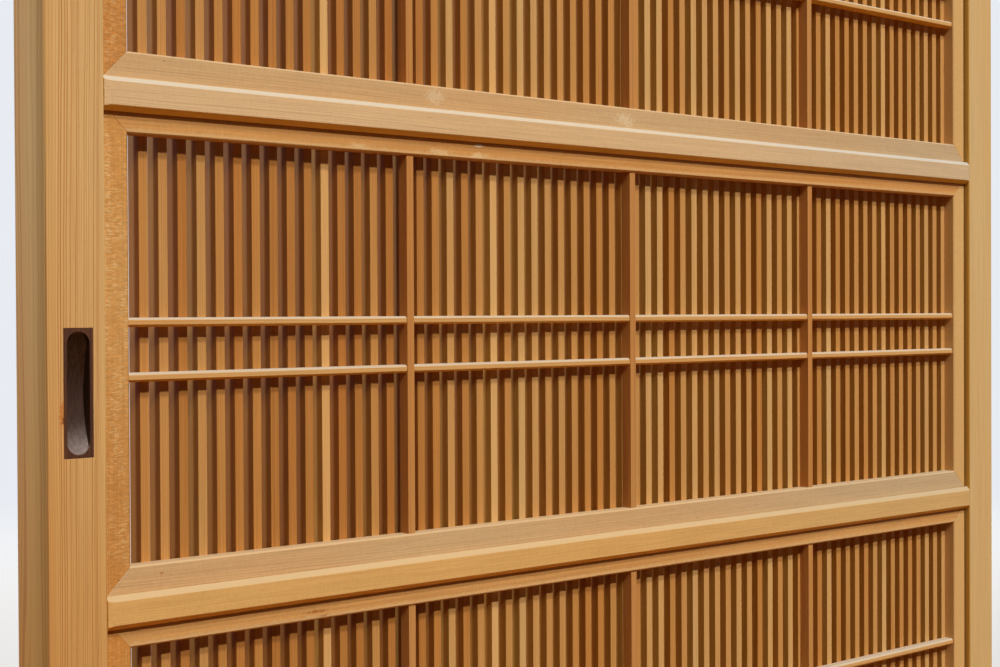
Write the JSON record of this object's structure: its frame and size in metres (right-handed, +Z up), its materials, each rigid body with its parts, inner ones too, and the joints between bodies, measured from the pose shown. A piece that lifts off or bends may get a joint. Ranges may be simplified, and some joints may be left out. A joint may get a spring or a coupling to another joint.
{
  "type": "shoji sliding screen",
  "caption": "Sliding wooden lattice screen: a leaf of mitred lattice frames over full-height slats, running between a sill and a head in its door frame.",
  "frame": {"origin": "middle of the frame's underside, half way through its depth", "axes": "+X along the tracks in the opening direction, +Y away from the room, +Z up"},
  "size_m": [1.83, 0.105, 1.8446],
  "materials": {
    "frame_wood": "planed softwood, satin",
    "stile_wood": "planed quarter-sawn softwood, satin",
    "rail_wood": "planed softwood, satin",
    "member_wood": "planed softwood, satin",
    "strip_wood": "planed softwood, satin",
    "slat_wood": "planed softwood, satin",
    "pull_wood": "dark hardwood, satin"
  },
  "bodies": {
    "frame": {"sill": "frame_wood", "head": "frame_wood", "left_jamb": "frame_wood", "right_jamb": "frame_wood"},
    "leaf": {"left_stile": "stile_wood", "right_stile": "stile_wood", "top_rail": "rail_wood", "bottom_rail": "rail_wood", "finger_pull_front": "pull_wood", "finger_pull_back": "pull_wood", "middle_rail_1": "rail_wood", "back_rail_1": "rail_wood", "middle_rail_2": "rail_wood", "back_rail_2": "rail_wood", "middle_rail_3": "rail_wood", "back_rail_3": "rail_wood", "middle_rail_4": "rail_wood", "back_rail_4": "rail_wood", "middle_rail_5": "rail_wood", "back_rail_5": "rail_wood", "tier_1_bottom_member": "member_wood", "tier_1_top_member": "member_wood", "tier_1_side_members": "member_wood", "tier_1_muntins": "strip_wood", "tier_1_bars": "strip_wood", "tier_2_bottom_member": "member_wood", "tier_2_top_member": "member_wood", "tier_2_side_members": "member_wood", "tier_2_muntins": "strip_wood", "tier_2_bars": "strip_wood", "tier_3_bottom_member": "member_wood", "tier_3_top_member": "member_wood", "tier_3_side_members": "member_wood", "tier_3_muntins": "strip_wood", "tier_3_bars": "strip_wood", "tier_4_bottom_member": "member_wood", "tier_4_top_member": "member_wood", "tier_4_side_members": "member_wood", "tier_4_muntins": "strip_wood", "tier_4_bars": "strip_wood", "tier_5_bottom_member": "member_wood", "tier_5_top_member": "member_wood", "tier_5_side_members": "member_wood", "tier_5_muntins": "strip_wood", "tier_5_bars": "strip_wood", "tier_6_bottom_member": "member_wood", "tier_6_top_member": "member_wood", "tier_6_side_members": "member_wood", "tier_6_muntins": "strip_wood", "tier_6_bars": "strip_wood", "slats_bay_1": "slat_wood", "slats_bay_2": "slat_wood", "slats_bay_3": "slat_wood", "slats_bay_4": "slat_wood"}
  },
  "joints": [
    {"name": "leaf_slide", "type": "slide", "parent": "frame", "child": "leaf", "axis": [1, 0, 0], "range_m": [-0.0677, 0.8047]}
  ]
}
